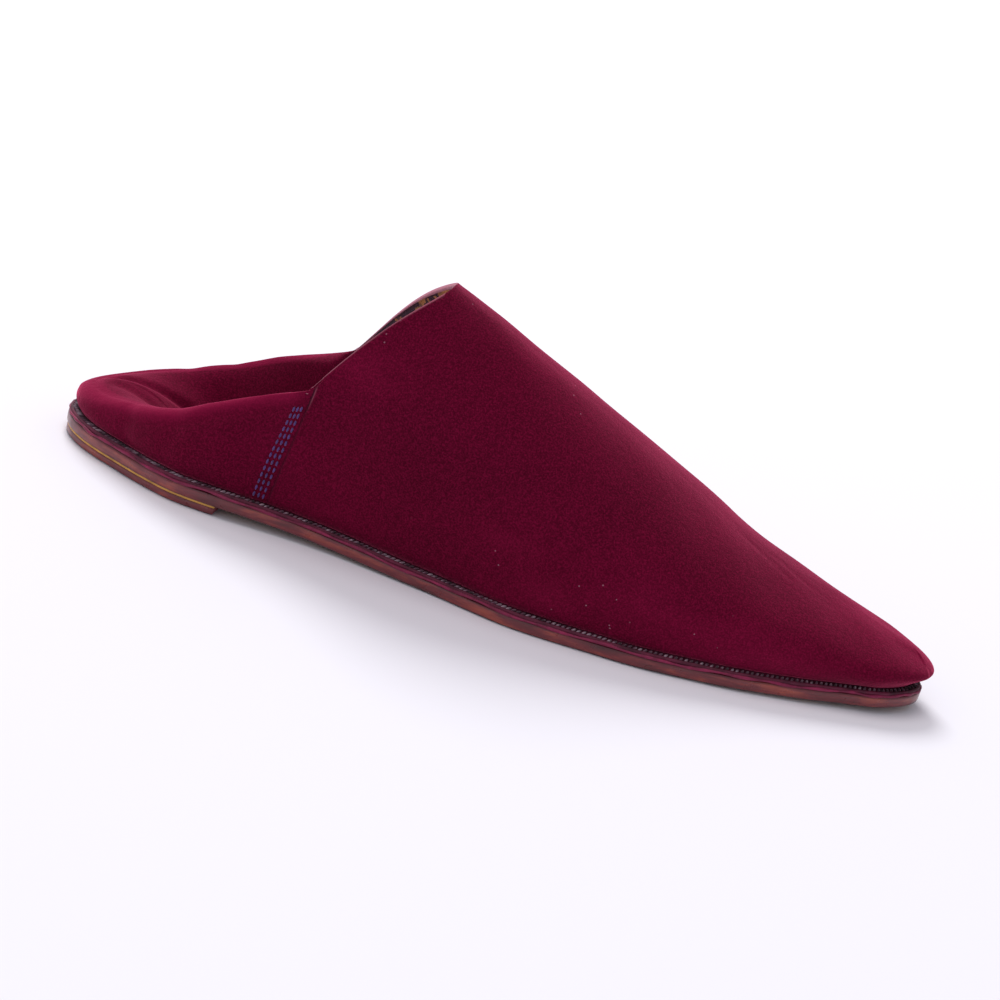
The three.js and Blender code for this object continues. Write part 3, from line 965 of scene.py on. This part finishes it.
# Sections through the lower pieces. Rows: inset from the outline, height, and share up the edge.
OUTSOLE_PROFILE = (
    (7.0, 0.0, 0.0), (1.1, 0.0, 0.0), (0.5, 0.12, 0.03), (0.15, 0.4, 0.12), (0.02, 0.9, 0.25),
    (0.0, 1.8, 0.5), (0.02, 2.7, 0.75), (0.12, 3.2, 0.9), (0.4, OUTSOLE, 1.0), (6.0, OUTSOLE, 1.0),
)
HEEL_PROFILE = (
    (5.0, 0.0, 0.0), (0.8, 0.0, 0.0), (0.25, 0.2, 0.1), (0.0, 0.6, 0.25), (0.0, 1.5, 0.6),
    (0.05, 2.1, 0.78), (0.3, 2.45, 1.0), (5.0, 2.45, 1.0),
)
NATURAL_PROFILE = (
    (0.7, -0.45, 0.0), (0.02, -0.4, 0.0), (-0.04, -0.05, 0.0), (0.02, 0.25, 0.0), (0.7, 0.3, 0.0),
)
INSOLE_INSET = WELT_WIDTH + 2 * GAP
INSOLE_PROFILE = (
    (INSOLE_INSET + 4, 0.0, 0.0), (INSOLE_INSET, 0.0, 0.0), (INSOLE_INSET, 1.45, 0.0),
    (INSOLE_INSET - 1.2, 1.55, 0.0), (INSOLE_INSET - 1.3, 1.8, 0.0), (INSOLE_INSET - 0.9, 2.1, 0.0),
    (INSOLE_INSET, INSOLE, 0.0), (INSOLE_INSET + 6, 2.15, 0.0), (INSOLE_INSET + 11, 1.95, 0.0),
)
# The welt's closed section, with the groove that the whip-stitches lie in. Rows: inset, height.
WELT_PROFILE = (
    (WELT_WIDTH, 0.0), (0.8, 0.0), (0.45, 0.25), (0.45, 0.8), (0.75, 1.15), (1.15, 1.15),
    (1.5, 0.65), (2.2, 0.5), (2.9, 0.7), (3.3, 1.15), (WELT_WIDTH - 0.3, WELT), (WELT_WIDTH, 0.9),
)
WHIP_INSET = 2.05
WHIP_ABOVE = 0.95
WHIP_LENGTH = 0.0026
WHIP_SLANT = math.radians(62)
BEAD_INSET = 0.42
BEAD_ABOVE = 0.02
HEEL_INSET = 0.4


def heel_outline(turn, inset):
    """The heel layer's outline: the sole's, a little inside it and cut straight at the front."""
    at = inset_outline(turn, inset + HEEL_INSET)
    at[:, 0] = np.minimum(at[:, 0], LIFT_LENGTH - inset)
    return at


class SLIPPER_OT_upper(bpy.types.Operator):
    """Builds the suede upper with its fold, lapped seam, creases, lining and facing strip."""

    bl_idname = "slipper.upper"
    bl_label = "Suede upper"

    def execute(self, context):
        sizes, colours = context.scene.slipper_sizes, context.scene.slipper_colours
        piece = build_upper(sizes, suede_material(colours), lining_material(colours))
        settle(piece, ["upper"])
        return {"FINISHED"}


class SLIPPER_OT_seam(bpy.types.Operator):
    """Sews the three rows of purple stitches behind each edge of the vamp."""

    bl_idname = "slipper.seam"
    bl_label = "Seam stitches"

    def execute(self, context):
        sizes, colours = context.scene.slipper_sizes, context.scene.slipper_colours
        tone = tuple(colours.thread)
        thread = thread_material("purple_thread", (0.3, darker(tone, 0.6)), (0.7, tone))
        piece = sew(
            "seam_stitches", seam_stitch_lines(sizes.seam_gap), thread, Pitch=sizes.seam_pitch,
            Length=STITCH_SHARE * sizes.seam_pitch, Thickness=sizes.seam_thread, Slant=0.0,
        )
        settle(piece)
        return {"FINISHED"}


class SLIPPER_OT_welt(bpy.types.Operator):
    """Builds the grooved welt, its whip-stitches and the wavy bead at the sole's edge."""

    bl_idname = "slipper.welt"
    bl_label = "Welt"

    def execute(self, context):
        sizes, colours = context.scene.slipper_sizes, context.scene.slipper_colours
        leather = plain_leather("welt_leather", (0.03, 0.003, 0.01), (0.15, 0.014, 0.045), 160, 0.6)
        rings = []
        for inset, height in WELT_PROFILE + WELT_PROFILE[:1]:
            at = inset_outline(TURNS, np.full(len(TURNS), inset))
            rings.append(np.column_stack([at, over_outsole(at[:, 0], height)]))
        faces = ring_faces(len(rings), len(TURNS))
        band = new_piece("welt_band", np.concatenate(rings), faces, [leather])
        weld(band, distance=1e-6)
        settle(band, ["welt"])

        spaced = np.linspace(-1, 1, 900)
        at = inset_outline(spaced, np.full(len(spaced), WHIP_INSET))
        line = np.column_stack([at, over_outsole(at[:, 0], WHIP_ABOVE)])
        tones = ((0.36, (0.03, 0.008, 0.016)), (0.5, (0.14, 0.05, 0.09)), (0.64, (0.42, 0.3, 0.36)))
        whip = sew(
            "welt_stitches", [line], thread_material("whip_thread", *tones), Pitch=sizes.whip_pitch,
            Length=WHIP_LENGTH, Thickness=sizes.whip_thread, Slant=WHIP_SLANT,
        )
        settle(whip)

        dyed = plain_leather("dyed_bead", darker(colours.bead, 0.35), tuple(colours.bead), 240, 0.45)
        turns = np.linspace(-1, 1, 1201)[:-1]
        # Waves of different lengths make the bead uneven.
        wave = 0.18 * np.sin(61 * turns) + 0.12 * np.sin(143 * turns + 1)
        at = inset_outline(turns, BEAD_INSET + 0.12 * np.sin(97 * turns))
        centre = np.column_stack([at, over_outsole(at[:, 0], BEAD_ABOVE) + wave])
        radius = sizes.bead / MM * (1 + 0.22 * np.sin(173 * turns))
        settle(bead_round("welt_bead", turns, centre, radius, dyed))
        return {"FINISHED"}


class SLIPPER_OT_sole(bpy.types.Operator):
    """Builds the outsole and the heel lift, with waxed edges and a natural line between them."""

    bl_idname = "slipper.sole"
    bl_label = "Outsole and heel"

    def execute(self, context):
        colours = context.scene.slipper_colours
        waxed = waxed_edge_material(colours)
        outsole = slab("outsole_leather", OUTSOLE_PROFILE, over_underside, waxed)
        settle(outsole, ["outsole"])

        half = np.linspace(turn_of(LIFT_LENGTH), 1, 60)[:-1]
        turns = np.concatenate([[0.0], half, [1.0], -half[::-1]])
        heel = slab("heel_layer", HEEL_PROFILE, under_heel, waxed, turns, heel_outline)
        settle(heel, ["heel_lift"])

        natural = tuple(colours.natural)
        pale = plain_leather("natural_leather", darker(natural, 0.6), natural, 300, 0.5)
        line = slab("natural_line", NATURAL_PROFILE, over_underside, pale, turns, heel_outline)
        settle(line)
        return {"FINISHED"}


class SLIPPER_OT_insole(bpy.types.Operator):
    """Builds the tan insole, a little dished, with a thin lip over the welt's inner edge."""

    bl_idname = "slipper.insole"
    bl_label = "Insole"

    def execute(self, context):
        colours = context.scene.slipper_colours
        tan = tuple(colours.insole)
        leather = plain_leather("tan_insole", darker(tan, 0.6), tan, 45, 0.55, gloss=0.4, grain=1200)
        piece = slab("insole_leather", INSOLE_PROFILE, over_outsole, leather)
        settle(piece, ["insole"])
        return {"FINISHED"}


FLOOR_HALF = 25.0
ROOM_TINT = (0.93, 0.92, 1.0, 1)
ROOM_STRENGTH = 0.5
SENSOR_WIDTH = 36


def softbox(name, place, target, size, power, tint=(1, 1, 1)):
    """A round soft light that faces its target."""
    light = bpy.data.lights.new(name, "AREA")
    light.shape = "DISK"
    light.size = size
    light.energy = power
    light.color = tint
    lamp = bpy.data.objects.new(name, light)
    turn = (Vector(target) - Vector(place)).to_track_quat("-Z", "Y").to_matrix().to_4x4()
    lamp.matrix_world = Matrix.Translation(place) @ turn
    bpy.context.scene.collection.objects.link(lamp)


def camera_axes(azimuth, elevation, roll):
    """The camera's turn: it looks at the slipper's outer side, from above, and is then rolled."""
    level = math.cos(elevation)
    behind = Vector((math.sin(azimuth) * level, -math.cos(azimuth) * level, math.sin(elevation)))
    right = Vector((0, 0, 1)).cross(behind).normalized()
    up = behind.cross(right)
    rolled_right = math.cos(roll) * right + math.sin(roll) * up
    rolled_up = math.cos(roll) * up - math.sin(roll) * right
    return Matrix((rolled_right, rolled_up, behind)).transposed().to_4x4()


class SLIPPER_OT_stage(bpy.types.Operator):
    """Lays the pale floor and sets the soft lights and the camera."""

    bl_idname = "slipper.stage"
    bl_label = "Stage"

    def execute(self, context):
        scene, stage = context.scene, context.scene.slipper_stage
        n = Nodes("pale_floor")
        n.finish(tuple(stage.floor) + (1,), 0.9, None, Specular_IOR_Level=0.1)
        mesh = bpy.data.meshes.new("floor")
        corners = [(FLOOR_HALF * x, FLOOR_HALF * y, 0) for x, y in ((-1, -1), (1, -1), (1, 1), (-1, 1))]
        mesh.from_pydata(corners, [], [(0, 1, 2, 3)])
        mesh.materials.append(n.material)
        floor = bpy.data.objects.new("floor", mesh)
        scene.collection.objects.link(floor)

        world = bpy.data.worlds.new("pale_room")
        world.use_nodes = True
        background = world.node_tree.nodes["Background"]
        background.inputs["Color"].default_value = ROOM_TINT
        background.inputs["Strength"].default_value = ROOM_STRENGTH
        scene.world = world

        softbox("key_light", (-1.25, 1.9, 2.4), (0, 0, 0.03), 1.5, stage.key)
        softbox("top_light", (-0.25, 0.15, 3.2), (0, 0, 0.03), 1.75, stage.top, (1, 0.96, 0.95))
        softbox("fill_light", (-0.5, -1.3, 0.7), (0, 0, 0.04), 1.2, stage.fill, (0.97, 0.96, 1))

        camera = bpy.data.cameras.new("camera")
        camera.lens = stage.lens
        camera.sensor_width = SENSOR_WIDTH
        camera.clip_start = 0.01
        camera.clip_end = 50
        viewer = bpy.data.objects.new("camera", camera)
        axes = camera_axes(stage.azimuth, stage.elevation, stage.roll)
        viewer.matrix_world = Matrix.Translation(Vector(stage.place) + Vector(SHIFT)) @ axes
        scene.collection.objects.link(viewer)
        scene.camera = viewer
        scene.view_settings.view_transform = "Standard"
        return {"FINISHED"}


OPERATORS = (
    SLIPPER_OT_stage,
    SLIPPER_OT_sole,
    SLIPPER_OT_welt,
    SLIPPER_OT_insole,
    SLIPPER_OT_upper,
    SLIPPER_OT_seam,
)


class SLIPPER_PT_panel(bpy.types.Panel):
    """Lists the slipper's pieces in the sidebar."""

    bl_idname = "SLIPPER_PT_panel"
    bl_label = "Babouche slipper"
    bl_space_type = "VIEW_3D"
    bl_region_type = "UI"
    bl_category = "Slipper"

    def draw(self, context):
        for group in ("slipper_sizes", "slipper_colours", "slipper_stage"):
            box = self.layout.box()
            settings = getattr(context.scene, group)
            for key in settings.__annotations__:
                box.prop(settings, key)
        for operator in OPERATORS:
            self.layout.operator(operator.bl_idname)


CLASSES = (SlipperSizes, SlipperColours, SlipperStage, *OPERATORS, SLIPPER_PT_panel)
GROUPS = {"slipper_sizes": SlipperSizes, "slipper_colours": SlipperColours, "slipper_stage": SlipperStage}


def register():
    for cls in CLASSES:
        bpy.utils.register_class(cls)
    for name, group in GROUPS.items():
        setattr(bpy.types.Scene, name, bpy.props.PointerProperty(type=group))


def unregister():
    for name in GROUPS:
        delattr(bpy.types.Scene, name)
    for cls in reversed(CLASSES):
        bpy.utils.unregister_class(cls)


def main():
    register()
    bpy.ops.slipper.stage()
    bpy.ops.slipper.sole()
    bpy.ops.slipper.welt()
    bpy.ops.slipper.insole()
    bpy.ops.slipper.upper()
    bpy.ops.slipper.seam()


if __name__ == "__main__":
    main()
